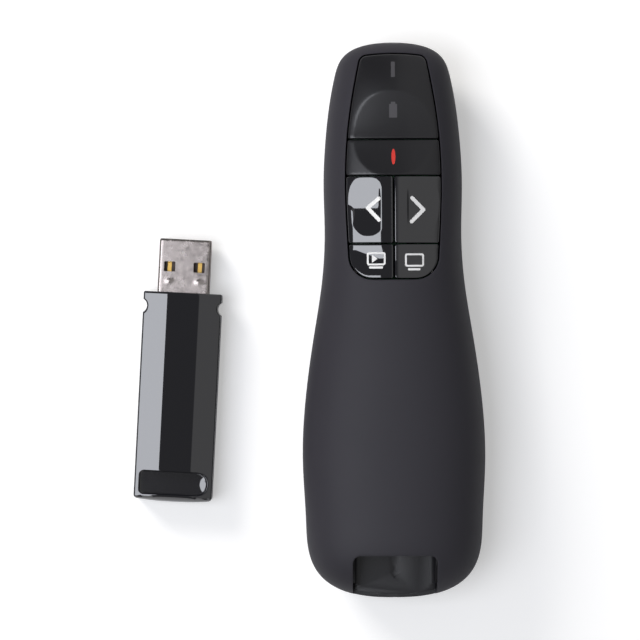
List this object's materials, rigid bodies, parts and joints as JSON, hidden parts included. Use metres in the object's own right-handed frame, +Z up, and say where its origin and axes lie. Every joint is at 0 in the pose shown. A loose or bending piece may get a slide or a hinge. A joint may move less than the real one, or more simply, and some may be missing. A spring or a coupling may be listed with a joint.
{
  "type": "presentation clicker",
  "caption": "Hand-held wireless presentation clicker with page, slideshow, blank-screen and laser keys, sliding battery door and separate USB receiver.",
  "frame": {"origin": "on the flat sole of the clicker, under the middle of its length", "axes": "+Y to the nose with the laser, +X to the right seen from above, +Z up"},
  "size_m": [0.0809, 0.127, 0.0248],
  "materials": {
    "soft_touch_case": "soft-touch coating, near black",
    "gloss_keys": "polished black",
    "gloss_receiver": "polished black",
    "chassis_black": "satin moulded black",
    "smoked_guide": "smoked translucent light guide",
    "red_inlay": "translucent red",
    "clear_lens": "clear moulded",
    "laser_brass": "turned brass",
    "bezel_metal": "black anodised",
    "circuit_green": "solder-masked laminate",
    "chip_black": "moulded package",
    "crystal_can": "drawn can",
    "led_body": "white package",
    "switch_body": "moulded switch housing",
    "plunger": "moulded plunger",
    "cell_sleeve": "plain printed sleeve over steel can",
    "contact_nickel": "nickelled spring steel",
    "screw_steel": "zinc plated",
    "plug_steel": "nickelled steel sheet",
    "tongue_plastic": "moulded insulator",
    "contact_gold": "gold flashed"
  },
  "bodies": {
    "case": {"top_shell": "soft_touch_case", "bottom_shell": "soft_touch_case", "inner_frame": "chassis_black", "indicator_panel": "gloss_keys", "front_light_guide": "smoked_guide", "rear_light_guide": "smoked_guide", "main_board": "circuit_green", "key_switches": "switch_body", "radio_chip": "chip_black", "radio_crystal": "crystal_can", "status_leds": "led_body", "laser_barrel": "laser_brass", "laser_lens": "clear_lens", "laser_bezel": "bezel_metal", "laser_window": "clear_lens", "power_switch_body": "switch_body", "power_board": "circuit_green", "battery_left": "cell_sleeve", "battery_right": "cell_sleeve", "battery_contacts": "contact_nickel", "battery_springs": "contact_nickel", "case_screws": "screw_steel"},
    "laser_key": {"laser_button": "gloss_keys", "laser_mark": "red_inlay", "laser_plunger": "plunger"},
    "back_key": {"back_button": "gloss_keys", "back_plunger": "plunger"},
    "next_key": {"next_button": "gloss_keys", "next_plunger": "plunger"},
    "slideshow_key": {"slideshow_button": "gloss_keys", "slideshow_plunger": "plunger"},
    "blank_key": {"blank_button": "gloss_keys", "blank_plunger": "plunger"},
    "power_slider": {"power_knob": "plunger"},
    "door": {"battery_door": "soft_touch_case"},
    "receiver": {"receiver_upper_case": "gloss_receiver", "receiver_lower_case": "gloss_receiver", "usb_shell": "plug_steel", "usb_tongue": "tongue_plastic", "usb_contacts": "contact_gold", "receiver_board": "circuit_green", "receiver_chip": "chip_black", "receiver_crystal": "crystal_can"}
  },
  "joints": [
    {"name": "laser_press", "type": "slide", "parent": "case", "child": "laser_key", "axis": [0, 0, -1], "range_m": [0, 0.00035], "stiffness_N_per_m": 1500},
    {"name": "back_press", "type": "slide", "parent": "case", "child": "back_key", "axis": [0, 0, -1], "range_m": [0, 0.00035], "stiffness_N_per_m": 1500},
    {"name": "next_press", "type": "slide", "parent": "case", "child": "next_key", "axis": [0, 0, -1], "range_m": [0, 0.00035], "stiffness_N_per_m": 1500},
    {"name": "slideshow_press", "type": "slide", "parent": "case", "child": "slideshow_key", "axis": [0, 0, -1], "range_m": [0, 0.00035], "stiffness_N_per_m": 1500},
    {"name": "blank_press", "type": "slide", "parent": "case", "child": "blank_key", "axis": [0, 0, -1], "range_m": [0, 0.00035], "stiffness_N_per_m": 1500},
    {"name": "power_slide", "type": "slide", "parent": "case", "child": "power_slider", "axis": [0, 1, 0], "range_m": [0, 0.002]},
    {"name": "door_slide", "type": "slide", "parent": "case", "child": "door", "axis": [0, -1, 0], "range_m": [0, 0.058]},
    {"name": "receiver_lift", "type": "slide", "parent": "case", "child": "receiver", "axis": [0, 0, 1], "range_m": [0, 0.03]}
  ]
}
